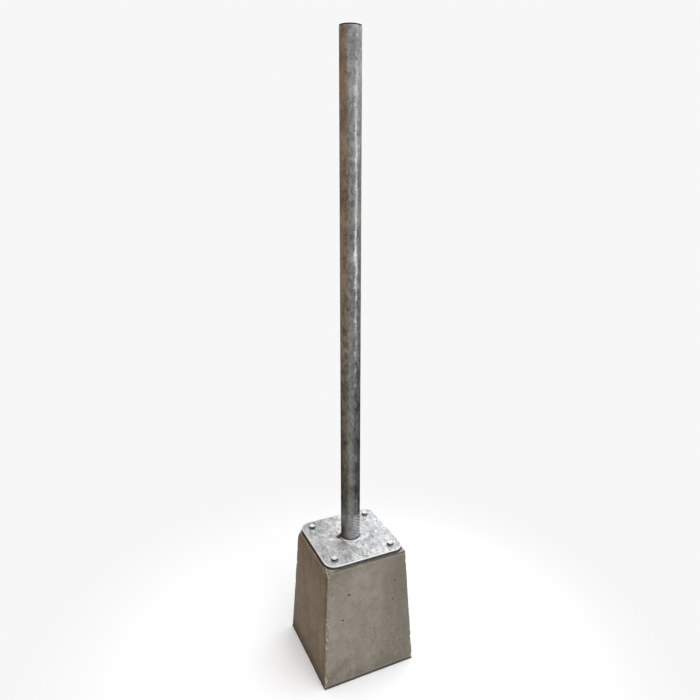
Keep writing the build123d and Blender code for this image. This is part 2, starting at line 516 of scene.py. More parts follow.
def make_world():
    """Soft light from above and behind, and a dim room at eye level: brown to the camera's left.

    height is the upward part of a direction, right and near are its parts towards the camera's right and
    towards the camera, and bearing is its angle in plan from the camera, in radians."""
    t = Tree(bpy.data.worlds.new("studio"))
    bpy.context.scene.world = t.owner
    direction = t.add("TexCoord").outputs["Generated"]
    height = t.add("SeparateXYZ", {0: direction}).outputs[2]
    right = t.vector("DOT_PRODUCT", direction, tuple(TO_CAMERA_RIGHT), output="Value")
    near = t.vector("DOT_PRODUCT", direction, tuple(TO_CAMERA), output="Value")
    bearing = t.math("ARCTAN2", right, near)
    left_side = t.remap(bearing, -0.48, -0.40, 1, 0)
    right_side = t.remap(bearing, 0.66, 0.84)
    upper = t.ease(height, 0.07, 0.20)
    middle = t.mix(upper, (0.31, 0.315, 0.315), grey(0.50))
    left = t.mix(t.ease(height, -0.12, -0.04), (0.38, 0.285, 0.200), (0.27, 0.200, 0.145))
    left = t.mix(upper, left, (0.20, 0.153, 0.118))
    left = t.mix(t.remap(bearing, -2.5, -2.1), grey(0.19), left)
    right_hand = t.mix(upper, (0.30, 0.32, 0.30), grey(0.74))
    room = t.mix(right_side, t.mix(left_side, middle, left), right_hand)
    ground = t.mix(left_side, (0.240, 0.240, 0.214), (0.066, 0.075, 0.061))
    ground = t.mix(right_side, ground, (0.035, 0.038, 0.032))
    ground = t.mix(t.ease(near, -0.05, -0.45), ground, grey(0.008))
    ground_below = t.remap(left_side, 0, 1, -0.42, -0.40)
    room_above = t.remap(left_side, 0, 1, -0.10, -0.22)
    behind = t.mix(t.ease(right, -0.24, 0.0), grey(0.46), grey(1.66, -0.01))
    ceiling = t.mix(t.ease(near, -0.4, 0.5), behind, grey(0.32, 0.01))
    ceiling = t.mix(t.ease(height, 0.66, 0.80), ceiling, grey(1.30))
    warm_side = t.times(
        t.ease(right, -0.75, -0.25, 1, 0), t.remap(height, -0.26, -0.12), t.remap(near, -0.85, -0.55)
    )
    colour = t.coats(
        room,
        (t.remap(height, ground_below, room_above, 1, 0), ground),
        (t.ease(height, 0.36, 0.66), ceiling),
        (warm_side, (1.01, 0.88, 0.78), "MULTIPLY"),
        (t.add("LightPath").outputs["Is Camera Ray"], grey(BACKDROP)),
    )
    t.end(t.add("Background", {"Color": colour}), "OutputWorld")


def make_light(name, place, aim, size, watts, in_reflections=True):
    data = bpy.data.lights.new(name, "AREA")
    data.shape = "RECTANGLE"
    data.size, data.size_y = size
    data.energy = watts
    light = add_object(name, data)
    light.location = place
    light.rotation_mode = "QUATERNION"
    light.rotation_quaternion = (place - Vector(aim)).to_track_quat("Z", "Y")
    light.visible_camera = False
    light.visible_glossy = in_reflections


def make_lights():
    side = (TO_CAMERA_RIGHT * 0.88 + TO_CAMERA * 0.47) * 2.4
    make_light("strip", side + Vector((0, 0, 1.22)), (0, 0, 1.2), (0.50, 1.28), 4.4)
    key = (TO_CAMERA_RIGHT * 0.55 + TO_CAMERA * 0.83) * 2.6
    make_light("key", key + Vector((0, 0, 2.2)), (0, 0, 0.3), (1.4, 1.4), 22, in_reflections=False)


def make_floor():
    """A pale floor that fades into the backdrop away from the object."""
    shape = bmesh.new()
    bmesh.ops.create_circle(shape, cap_ends=True, segments=96, radius=30)
    floor = add_object("floor", closed("floor", shape))
    t = new_material("floor_paint")
    away = t.vector("LENGTH", t.place(), output="Value")
    seen = t.add("LightPath").outputs["Is Camera Ray"]
    paint = t.add("BsdfDiffuse", {"Color": t.mix(seen, grey(0.30, 0.04), grey(1.12, -0.02))})
    glow = t.add("Emission", {"Color": (*grey(BACKDROP), 1)})
    far = t.times(t.ease(away, 0.25, 1.1), seen)
    t.end(t.add("MixShader", {0: far, 1: paint.outputs[0], 2: glow.outputs[0]}))
    floor.data.materials.append(t.owner)
    floor.visible_glossy = False


# ---- The concrete block

EDGE_ZONE = 14 * MM  # how near an edge the block's mesh gets its fine rows
FINE_STEP = 1.4 * MM
COARSE_STEP = 4.2 * MM
CORE_DEPTH = 30 * MM  # how deep below the skin the block's own shape no longer matters
LIP_HEIGHT = 5 * MM  # the flash left where the mould stood on its base board
LIP_PROUD = 0.8 * MM
SEARCH_STEPS = 22  # halvings on the way to the worn skin

# Air holes on the front face: x, z and the hole's radius, in millimetres
FRONT_HOLES = ((-65, 304, 3.6), (-88, 224, 3.1), (93, 307, 2.6), (85, 242, 2.8))
OTHER_HOLES_PER_FACE = 7


def spaced(length):
    """Places along a length, close together near both ends."""
    near = np.arange(0, EDGE_ZONE, FINE_STEP)
    middle = np.linspace(EDGE_ZONE, length - EDGE_ZONE, round((length - 2 * EDGE_ZONE) / COARSE_STEP) + 1)
    return np.concatenate([near, middle, length - near[::-1]])


class Frustum:
    """The block's sharp outline, read from the CAD block: half its width at each height."""

    def __init__(self, node):
        points = cad_places(node)
        self.height = points[:, 2].max()
        is_low, is_high = points[:, 2] < 0.1 * self.height, points[:, 2] > 0.9 * self.height
        low, high = (part[np.argmax(part[:, 0])] for part in (points[is_low], points[is_high]))
        self.slope = (high[0] - low[0]) / (high[2] - low[2])
        self.base_half = low[0] - self.slope * low[2]

    def half(self, z):
        return self.base_half + self.slope * z

    def depths(self, points):
        """How far each point lies outside the planes +x, -x, +y, -y, top and bottom (below 0 is inside)."""
        x, y, z = points.T
        along = 1 / hypot(1, self.slope)
        sides = [(side - self.half(z)) * along for side in (x, -x, y, -y)]
        return np.stack([*sides, z - self.height, -z], axis=1)


def block_lattice(shape):
    """The frustum's skin as one mesh of quads, finer towards the edges."""
    across = spaced(2 * shape.base_half) / shape.base_half - 1
    up = spaced(shape.height)
    wide, tall = len(across) - 1, len(up) - 1
    mesh = bmesh.new()
    known = {}

    def vertex(i, j, k):
        if (i, j, k) not in known:
            half = shape.half(up[k])
            known[i, j, k] = mesh.verts.new((across[i] * half, across[j] * half, up[k]))
        return known[i, j, k]

    def quad(corner, first, second):
        """A face from its corner along first, with second along its next side."""
        corners = corner + np.array([0 * first, first, first + second, second])
        mesh.faces.new([vertex(*c) for c in corners])

    x, y, z = np.eye(3, dtype=int)
    for i in range(wide):
        for j in range(wide):
            quad((i, j, 0), y, x)
            quad((i, j, tall), x, y)
        for k in range(tall):
            quad((i, 0, k), x, z)
            quad((i, wide, k), z, x)
            quad((0, i, k), z, y)
            quad((wide, i, k), y, z)
    return mesh


def air_holes(shape):
    """The centre and radius of each air hole on the four sides."""
    holes = [(Vector((x, -shape.half(z), z)), radius) for x, z, radius in np.array(FRONT_HOLES) * MM]
    chance = np.random.default_rng(7)
    for turn in (90, 180, 270):
        for _ in range(OTHER_HOLES_PER_FACE):
            z = chance.uniform(0.12, 0.9) * shape.height
            half = shape.half(z)
            flat = Vector((chance.uniform(-0.8, 0.8) * half, -half, z))
            radius = chance.uniform(0.9, 2.4) * MM
            holes.append((Matrix.Rotation(radians(turn), 3, "Z") @ flat, radius))
    return holes


def refine_round(mesh, centre, radius):
    """Cuts the faces round an air hole small enough to take its bowl."""
    for reach in (radius + 2.5 * MM, radius + 1.0 * MM):
        near = [f for f in mesh.faces if (f.calc_center_median() - centre).length < reach]
        edges = list({e for f in near for e in f.edges})
        bmesh.ops.subdivide_edges(mesh, edges=edges, cuts=2, use_grid_fill=True)


def make_block():
    """The block: a sharp frustum, worn back to its waves, grit, round edges and chips, then its holes."""
    shape = Frustum("concrete_block")
    mesh = block_lattice(shape)
    holes = air_holes(shape)
    for centre, radius in holes:
        refine_round(mesh, centre, radius)
    sharp = places_of(mesh.verts)
    x, y, z = sharp.T
    half, top_half = shape.half(z), shape.half(shape.height)
    limit = half - CORE_DEPTH
    core_height = np.clip(z, CORE_DEPTH, shape.height - CORE_DEPTH)
    core = np.stack([np.clip(x, -limit, limit), np.clip(y, -limit, limit), core_height], axis=1)

    def uneven(size, octaves, seed):
        return field(sharp, size, octaves, seed)

    # Where each point lies
    below_top = shape.height - z
    on_left, on_front = x < -half + 1 * MM, y < -half + 1 * MM
    to_front_edge = lengths(sharp[:, :2] / half[:, None] * top_half + top_half)
    to_front_top = lengths(sharp - [-top_half, -top_half, shape.height])
    to_back_left = lengths(sharp - [-top_half, top_half, shape.height])

    # How the skin is worn there, the chips in millimetres
    waves = 0.5 * MM * (0.5 + 0.5 * uneven(0.09, 2, 1))
    grit = 0.12 * MM * (0.5 + 0.5 * uneven(5 * MM, 3, 2))
    rounding = (1.9 + 0.7 * uneven(0.03, 2, 3)) * MM
    ragged = uneven(7 * MM, 4, 4)
    broken = ramp(uneven(0.035, 3, 8), 0.18, 0.5) * (0.5 + 0.5 * ramp(ragged, -0.2, 0.4))
    crumbled = np.abs(uneven(4.5 * MM, 3, 9)) * (0.6 + ragged)
    edge_wear = fall(to_front_edge, 5 * MM, 30 * MM) * (0.35 + 0.65 * ramp(z, 0.24, 0.36))
    chips = 1.4 + 1.6 * ragged + (5.0 + 5.0 * edge_wear) * broken + 18.0 * edge_wear * crumbled
    chips += 9 * bell(to_front_top, 14 * MM) * (1 + 0.5 * ragged)
    chips += 16 * bell(to_back_left, 26 * MM) * (1 + 0.3 * ragged)
    chips = np.clip(chips, 0, 22) * MM
    above_lip = z >= LIP_HEIGHT + 1.5 * MM * uneven(0.02, 3, 5)

    def outside(points):
        """Above 0 outside the worn block, below 0 inside it."""
        depths = shape.depths(points)
        depths[:, :4] += (waves + grit + LIP_PROUD * above_lip)[:, None]
        depths[:, 4] += waves * 0.5
        deepest = np.sort(depths, axis=1)
        chipped = (deepest[:, -1] + deepest[:, -2] + chips) / sqrt(2)
        rounded = lengths(np.maximum(depths + rounding[:, None], 0)) - rounding
        rounded = np.maximum(rounded, depths.max(1))
        near_floor = points[:, 2] < 4 * MM
        return np.where(near_floor, rounded, np.maximum(rounded, chipped))

    inside, beyond = np.zeros(len(sharp)), np.ones(len(sharp))
    for _ in range(SEARCH_STEPS):
        middle = (inside + beyond) / 2
        out = outside(core + middle[:, None] * (sharp - core)) > 0
        beyond = np.where(out, middle, beyond)
        inside = np.where(out, inside, middle)
    worn = core + inside[:, None] * (sharp - core)

    # What shows on it: pale wear, darker concrete with painted shade, the left face browner as painted warm
    # light, and stains
    at_rim = ramp(below_top, 3.5 * MM, 6 * MM) * fall(below_top + 1.5 * MM * ragged, 9 * MM, 13 * MM)
    wear = most(
        ramp(lengths(sharp - worn), 1.5 * MM, 2.9 * MM),
        at_rim * np.where(x < -top_half + 7 * MM, 0.75, 0.2),
        fall(to_front_top + 6 * MM * ragged, 5 * MM, 12 * MM),
    )
    speckled = ramp(uneven(0.009, 3, 16), 0.05, 0.4) * fall(to_front_edge, 25 * MM, 75 * MM)
    # Darker: the front face towards its right, speckles near the front edge, smudges low down, painted
    # shade along the top of the front face below the plate, and the left face towards the bottom
    shade = most(
        on_front * ramp(x + 0.012 * uneven(0.07, 3, 10), -0.035, 0.11),
        0.7 * speckled * on_front * ramp(z, 0.24, 0.34),
        0.9 * ramp(uneven(0.04, 4, 15), 0.0, 0.35) * fall(z, 0.03, 0.11),
        0.65 * on_front * ramp(z + 0.01 * ragged, 0.35, 0.39),
        0.9 * on_left * fall(z + 0.006 * ragged, 0.010, 0.050),
        0.3 * on_left * fall(z + 0.01 * ragged, 0.06, 0.16),
    )
    # The whole left face tinted as painted warm light from the left; browner patches of concrete elsewhere,
    # not on the front
    brown = most(on_left, ramp(uneven(0.11, 3, 17), 0.1, 0.6) * (1 - on_front))
    stain = on_left * most(
        fall(to_front_edge, 6 * MM, 34 * MM) * (0.45 + 0.55 * ramp(z, 0.15, 0.3)),
        0.55 * ramp(z, 0.27, 0.39),
        0.8 * fall(z + 0.006 * ragged, 0.012, 0.055),
    )
    inward = (core - sharp) / np.maximum(lengths(core - sharp), 1e-9)[:, None]
    worn += inward * (wear * 0.7 * MM * (0.5 + 0.5 * uneven(3.5 * MM, 4, 6)))[:, None]

    # Painted shade under the plate's edge and on the ledge beside it, and the bowls of the air holes,
    # painted dark as shade
    under_plate = fall(below_top + 1 * MM * ragged, 3 * MM, 5.5 * MM) * ramp(to_front_top, 9 * MM, 22 * MM)
    past_plate = outside_square(sharp[:, :2], *plate_outline())
    on_ledge = fall(past_plate, 1.5 * MM, 3.5 * MM) * ramp(to_front_top, 30 * MM, 45 * MM)
    pit = np.where(below_top > 0.1 * MM, under_plate, on_ledge) * np.where(on_left, 1.0, 0.72)
    for centre, radius in holes:
        bowl = np.sqrt(np.clip(1 - (lengths(sharp - centre) / radius) ** 2, 0, 1))
        worn += inward * (bowl * 1.5 * radius)[:, None]
        pit = most(pit, ramp(bowl, 0.0, 0.5))
    move_to(mesh, worn)
    block = closed("precast_block", mesh)
    add_piece(block, "concrete_block", wear=wear, pit=pit, stain=stain, shade=shade, brown=brown)


# ---- The steel pieces

PLATE_GRID = 3 * MM
PLATE_UNDERSIDE_GRID = 9 * MM
PLATE_ROUND = 1.4 * MM  # of its edges, as the zinc leaves them
ROUND_ROWS = 5
CORNER_POINTS = 25  # along each round corner of the plate
SIDE_POINTS = 49
DRAIN_POINTS = 72
BOLT_HOLE_POINTS = 40
ZINC_PIMPLES = 26

TUBE_SEGMENTS = 160
TUBE_RING_STEP = 4.5 * MM
FOOT_RING_STEP = 1.3 * MM  # where the ridges are
RIDGE_ZONE = 0.10
RIDGE_PITCH = 10.5 * MM
RIDGE_LEAN = 12  # how fast the ridges drop towards the right, in radians of their wave to one of the tube
ZINC_RUNS = 16

WELD_SEGMENTS = 420
WELD_RIPPLE = 2.7 * MM  # from one ripple of the bead to the next
WELD_FACE_STEPS = 14
WELD_BULGE = 0.35 * MM

BOLT_SEGMENTS = 96
THREAD_PITCH = 1.5 * MM
THREAD_DEPTH = 0.75 * MM
THREAD_ROWS = 8  # rows of vertices to one turn of thread
SHARP_EDGE = radians(28)  # a bolt is shaded smooth across blunter edges
WASHER_SEGMENTS = 72

CAP_SEGMENTS = 128
DOME_RINGS = 22

# Where marks lie on the post and its foot, as angles in plan from +x towards +y
SLAG_ANGLE = 2.864  # the weld was stopped here, leaving a lump; the lump and the plate beside it are painted dark, as shade
# The side where the plate, the tube's foot and the weld are given painted shade
DIRTY_ANGLE = 2.724
SMEAR_ANGLE = -2.938
# The middles of the painted highlight on the weld, and of the bright crescent painted on the plate beside
# it
RUBBED_ANGLE = -1.638
SPLASH_ANGLE = -1.488
RIDGE_ANGLE = -1.117
SLAG_WAY = np.array([cos(SLAG_ANGLE), sin(SLAG_ANGLE)])
DIRTY_WAY = np.array([cos(DIRTY_ANGLE), sin(DIRTY_ANGLE)])
PLATE_STAIN = (-0.060, -0.028)  # the middle of the brown painted reflection of the tube on the plate


def rounded_square(half, corner, inset):
    """The plate's outline moved in by inset, always with the same number of points."""
    arc = np.linspace(0, pi / 2, CORNER_POINTS)
    side = half - corner
    radius = corner - inset
    points = []
    for turn in np.arange(4) * pi / 2:
        rotation = np.array([[cos(turn), -sin(turn)], [sin(turn), cos(turn)]])
        bend = np.stack([side + radius * np.cos(arc), side + radius * np.sin(arc)], axis=1)
        along = np.linspace(side, -side, SIDE_POINTS)[1:-1]
        straight = np.stack([along, np.full(SIDE_POINTS - 2, half - inset)], axis=1)
        points.append(np.concatenate([bend, straight]) @ rotation.T)
    return np.concatenate(points)


def circle(centre, radius, count):
    angle = np.linspace(0, TURN, count, endpoint=False)
    return np.stack([centre[0] + radius * np.cos(angle), centre[1] + radius * np.sin(angle)], axis=1)


def outside_square(points, half, corner):
    """How far points in plan lie outside a square with round corners (below 0 is inside)."""
    beyond = np.abs(points) - (half - corner)
    return lengths(np.maximum(beyond, 0)) + np.minimum(beyond.max(1), 0) - corner


def filled(square, circles, step):
    """Triangles between a rounded square and circles in it, as points, faces and the ends of the rings.

    square is (half, corner, inset), and each circle is (centre, radius, count). The outline's points come
    first, then each circle's, then points on a grid."""
    half, corner, inset = square
    rings = [rounded_square(*square), *[circle(*c) for c in circles]]
    clearance = 0.55 * step
    inner = []
    for number, y in enumerate(np.arange(inset - half, half - inset, step * 0.866)):
        shift = (number % 2) * step / 2
        inner += [(x, y) for x in np.arange(inset - half + shift, half - inset, step)]
    inner = np.array(inner)
    keep = outside_square(inner, half - inset, corner - inset) < -clearance
    edges, ends = [], [0]
    for centre, radius, _ in circles:
        keep &= lengths(inner - centre) > radius + clearance
    for ring in rings:
        first, count = ends[-1], len(ring)
        edges += [(first + i, first + (i + 1) % count) for i in range(count)]
        ends.append(first + count)
    points = np.concatenate([*rings, inner[keep]])
    triangles = geometry.delaunay_2d_cdt([Vector(p) for p in points], edges, [], 0, 1e-7)[2]
    middles = np.array([points[list(t)].mean(0) for t in triangles])
    solid = np.full(len(middles), True)
    for centre, radius, count in circles:
        solid &= lengths(middles - centre) > radius * cos(pi / count) - 1e-7
    return points, [t for t, is_solid in zip(triangles, solid) if is_solid], ends


def plate_outline():
    """Half the base plate's side, and the radius of its corners."""
    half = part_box("base_plate")[1].x
    points = cad_places("base_plate")
    on_side = points[np.abs(points[:, 0] - half) < SAME]
    return half, half - np.abs(on_side[:, 1]).max()


def make_plate():
    """The base plate: rolled edges, bolt holes, and a zinc skin with waves, pimples and a thick rim."""
    low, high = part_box("base_plate")
    half, corner = plate_outline()
    points = cad_places("base_plate")
    bolts = [around(f"bolt_{place}")[0] for place in PLACES]
    face = points[points[:, 2] > high.z - SAME][:, :2]
    drain = lengths(face).min()
    bolt_hole = lengths(face - bolts[0]).min()
    holes = [((0, 0), drain, DRAIN_POINTS), *[(place, bolt_hole, BOLT_HOLE_POINTS) for place in bolts]]
    mesh = bmesh.new()

    def sheet(height, step, upward):
        """A flat face with its holes, and its border vertices ring by ring."""
        wider = [(c, r + PLATE_ROUND, n) for c, r, n in holes]
        flat_points, faces, ends = filled((half, corner, PLATE_ROUND), wider, step)
        verts = [mesh.verts.new((x, y, height)) for x, y in flat_points]
        for face in faces:
            mesh.faces.new([verts[i] for i in (face if upward else face[::-1])])
        return [verts[start:end] for start, end in zip(ends, ends[1:])]

    # The outline's and the holes' walls, each row as deep in the steel as its edges' rounding takes it
    rows = [sheet(high.z, PLATE_GRID, True)]
    bottom = sheet(low.z, PLATE_UNDERSIDE_GRID, False)
    arc = np.linspace(0, pi / 2, ROUND_ROWS + 1)
    bend = list(zip(PLATE_ROUND * (1 - np.sin(arc)), PLATE_ROUND * (1 - np.cos(arc))))
    wall = [(depth, high.z - drop) for depth, drop in bend[1:]]
    wall += [(0, low.z + (high.z - low.z) * share) for share in (0.7, 0.5, 0.3)]
    wall += [(rise, low.z + depth) for depth, rise in bend[:-1]]
    for depth, height in wall:
        rings = [rounded_square(half, corner, depth), *[circle(c, r + depth, n) for c, r, n in holes]]
        rows.append([[mesh.verts.new((x, y, height)) for x, y in ring] for ring in rings])
    rows.append(bottom)
    for upper, lower in zip(rows, rows[1:]):
        for number, (a, b) in enumerate(zip(upper, lower)):
            for i in range(len(a)):
                j = (i + 1) % len(a)
                mesh.faces.new((a[i], b[i], b[j], a[j]) if number == 0 else (a[i], a[j], b[j], b[i]))

    places = places_of(mesh.verts)
    plan = places[:, :2]
    from_middle = lengths(plan)
    to_edge = half - np.abs(plan).max(1)
    near_bolt = np.min([lengths(plan - b) for b in bolts], axis=0)
    zinc = 0.10 * MM * field(places, 0.035, 3, 11)
    zinc += 0.18 * MM * fall(to_edge, 2 * MM, 8 * MM) * (1 + 0.6 * field(places, 0.02, 2, 12))
    chance = np.random.default_rng(5)
    for _ in range(ZINC_PIMPLES):
        spot = chance.uniform(-0.92, 0.92, 2) * half
        size = chance.uniform(1.8, 3.6) * MM
        zinc += 0.4 * MM * bell(lengths(plan - spot), size / sqrt(2))
    zinc *= (places[:, 2] > high.z - 0.1 * MM) * ramp(near_bolt, 10 * MM, 14 * MM)
    on_rim = (to_edge < 0.5 * MM) | (from_middle > half * 1.18)
    push = 0.25 * MM * field(places, (0.03, 0.03, 0.006), 3, 13) * on_rim / np.maximum(from_middle, 1e-9)
    move_to(mesh, places + np.column_stack([plan * push[:, None], zinc]))

    # Painted shade: the plate's sides, nearly black on the left, its shaded side, round the bolts and
    # beside the weld's lump. Painted highlight: along the top arris and in a crescent by the foot. The
    # brown patch by the foot is a painted reflection of the tube.
    side = places[:, 2] < high.z - PLATE_ROUND * 0.75
    foot_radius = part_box("foot_weld")[1].x
    to_slag = lengths(plan - SLAG_WAY * (foot_radius + 1 * MM))
    grime = 0.26 * ramp(plan @ DIRTY_WAY, 0.02, 0.12) + 0.9 * fall(to_slag, 5 * MM, 13 * MM)
    grime += 0.35 * fall(near_bolt, 10 * MM, 13 * MM)
    to_stain = lengths(plan - PLATE_STAIN) + 6 * MM * field(places, 0.03, 3, 14)
    arris = ramp(outside_square(plan, half, corner), -5.2 * MM, -2.4 * MM) * (1 - side)
    splashed = ramp(field(places, 0.010, 3, 18), 0.05, 0.35)
    splashed *= fall(from_middle - foot_radius, 6 * MM, 26 * MM)
    splashed *= fall(apart(bearings(places), SPLASH_ANGLE), 0.7, 1.3)
    add_piece(
        closed("zinc_base_plate", mesh), "base_plate", plate_zinc,
        grime=most(np.clip(grime, 0, 1), side * np.where(places[:, 0] < -0.9 * half, 1, 0.92)),
        tarnish=0.45 * fall(to_stain, 0.010, 0.038),
        rubbed=most(arris, 0.8 * splashed * (places[:, 2] > high.z - PLATE_ROUND * 0.5)),
    )


def make_tube():
    """The post: zinc runs down its length, ridges just above its foot, and a thin wavy skin."""
    low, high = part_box("post_tube")
    _, radii, heights, _ = around("post_tube")
    outer, bore = radii.max(), radii.min()
    foot = radii[heights < low.z + SAME].max()
    bevel_top = heights[(radii > outer - SAME) & (heights < low.z + 0.1)].min()
    ridge_top = bevel_top + RIDGE_ZONE
    count = round((high.z - ridge_top) / TUBE_RING_STEP)
    climb = np.arange(bevel_top, ridge_top - 0.5 * FOOT_RING_STEP, FOOT_RING_STEP)
    climb = np.concatenate([climb, np.linspace(ridge_top, high.z - 0.8 * MM, count)])
    profile = [(foot, low.z), *[(outer, z) for z in climb]]
    profile += [(outer - 0.1 * MM, high.z - 0.3 * MM), (outer - 0.5 * MM, high.z)]
    profile += [(bore + 0.4 * MM, high.z)]
    profile += [(bore, z) for z in np.linspace(high.z - 0.4 * MM, low.z, 12)]
    chance = np.random.default_rng(3)

    def shape(radius, height, angle):
        outside = radius > outer - SAME
        places = ring_places(outer, height, angle)[outside]
        turned, up = angle[outside], height[outside]
        zinc = 0.07 * MM * field(places, (0.016, 0.016, 0.07), 3, 21)
        zinc += 0.05 * MM * field(places, 0.009, 2, 22)
        for _ in range(ZINC_RUNS):
            where = chance.uniform(-pi, pi)
            start = chance.uniform(low.z + 0.1, high.z - 0.05)
            length = chance.uniform(0.03, 0.16)
            width = chance.uniform(1.6, 3.2) * MM
            sideways = apart(turned, where + 0.12 * np.sin(up * 22 + where)) * outer
            along = np.clip((start - up) / length, 0, 1)
            body = (along > 0) * (along < 1) * (0.25 + 0.75 * along ** 3)
            zinc += 0.35 * MM * body * bell(sideways, width)
        ridge_side = bell(apart(turned, RIDGE_ANGLE), 0.60)
        ridge_zone = ramp(up, low.z + 8 * MM, low.z + 16 * MM) * fall(up, low.z + 66 * MM, ridge_top)
        drift = 1.3 * field(places, (0.03, 0.03, 0.05), 2, 23)
        wave = np.sin(up / RIDGE_PITCH * TURN + RIDGE_LEAN * turned + drift)
        zinc += 0.72 * MM * ridge_side * ridge_zone * np.maximum(wave, -0.3)
        zinc *= ramp(up, low.z + 6 * MM, low.z + 12 * MM) * fall(up, high.z - 4 * MM, high.z)
        radius[outside] += zinc
        return radius, height

    mesh = turned_mesh("zinc_post_tube", profile, TUBE_SEGMENTS, shape)
    places = places_of(mesh.vertices)
    up = places[:, 2] - bevel_top
    turned = bearings(places)
    uneven = field(places, 0.012, 3, 24)
    # A dark line at the foot, dirt round its lowest few centimetres, and painted shade on the shaded side
    grime = 0.70 * fall(up + 1 * MM * uneven, 1 * MM, 5 * MM)
    grime += (0.24 + 0.75 * fall(apart(turned, DIRTY_ANGLE), 0.5, 1.7)) * fall(up, 0.03, 0.09)
    smear = (apart(turned, SMEAR_ANGLE) / 0.42) ** 2 + ((places[:, 2] - (high.z - 0.128)) / 0.028) ** 2
    crest = lengths(places[:, :2]) - outer
    add_piece(
        mesh, "post_tube", tube_zinc,
        grime=np.clip(grime, 0, 1),
        tarnish=0.8 * fall(smear + 0.8 * uneven, 0.4, 1.5),
        rubbed=0.6 * ramp(crest, 0.12 * MM, 0.45 * MM) * (up < RIDGE_ZONE),
    )


def make_weld():
    """The weld bead round the foot: overlapping ripples, uneven legs, and a lump where it was stopped."""
    low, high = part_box("foot_weld")
    _, radii, heights, _ = around("foot_weld")
    root, toe = radii.min(), radii.max()
    neck = radii[heights > high.z - SAME].min()
    profile = [(root, low.z)]
    for share in np.arange(WELD_FACE_STEPS + 1) / WELD_FACE_STEPS:
        swell = WELD_BULGE * sin(pi * share) / sqrt(2)
        profile.append((toe + (neck - toe) * share + swell, low.z + (high.z - low.z) * share + swell))
    ripples = round(TURN * neck / WELD_RIPPLE)

    def shape(radius, height, angle):
        share = np.clip((height - low.z) / (high.z - low.z), 0, 1)
        places = ring_places(radius, height, angle).reshape(-1, 3)
        uneven = field(places, 0.016, 3, 31).reshape(radius.shape)
        fine = field(places, 0.004, 2, 32).reshape(radius.shape)
        scallop = np.abs(np.sin((ripples * angle + 1.5 * np.sin(pi * share) + 0.8 * uneven) / 2))
        swell = 0.32 * MM * (scallop - 0.5) + 0.7 * MM * uneven + 0.12 * MM * fine
        swell += 5.2 * MM * bell(apart(angle, SLAG_ANGLE), 0.17) * (1 + 0.5 * fine)
        swell *= (radius > root + SAME) * np.sin(pi * (0.15 + 0.7 * share))
        radius = radius + swell * 0.75
        height = height + swell * 0.55 * (share > 0.01)
        return np.where(share > 0.99, np.minimum(radius, neck), radius), height

    mesh = turned_mesh("zinc_foot_weld", profile, WELD_SEGMENTS, shape)
    places = places_of(mesh.vertices)
    turned = bearings(places)
    # Painted shade on the lump and on the shaded side, a dark line at the neck, and a painted highlight
    # towards the front right
    slag = bell(apart(turned, SLAG_ANGLE), 0.30, 4)
    dirty_side = 0.5 * bell(apart(turned, DIRTY_ANGLE), 0.7)
    at_neck = ramp(places[:, 2], high.z - 2.2 * MM, high.z - 0.8 * MM)
    patchy = ramp(field(places, 0.009, 3, 33), -0.10, 0.25)
    add_piece(
        mesh, "foot_weld", weld_zinc,
        grime=np.clip(slag + dirty_side + 0.85 * at_neck, 0, 1),
        rubbed=patchy * fall(apart(turned, RUBBED_ANGLE), 0.7, 1.4) * (1 - at_neck),
    )


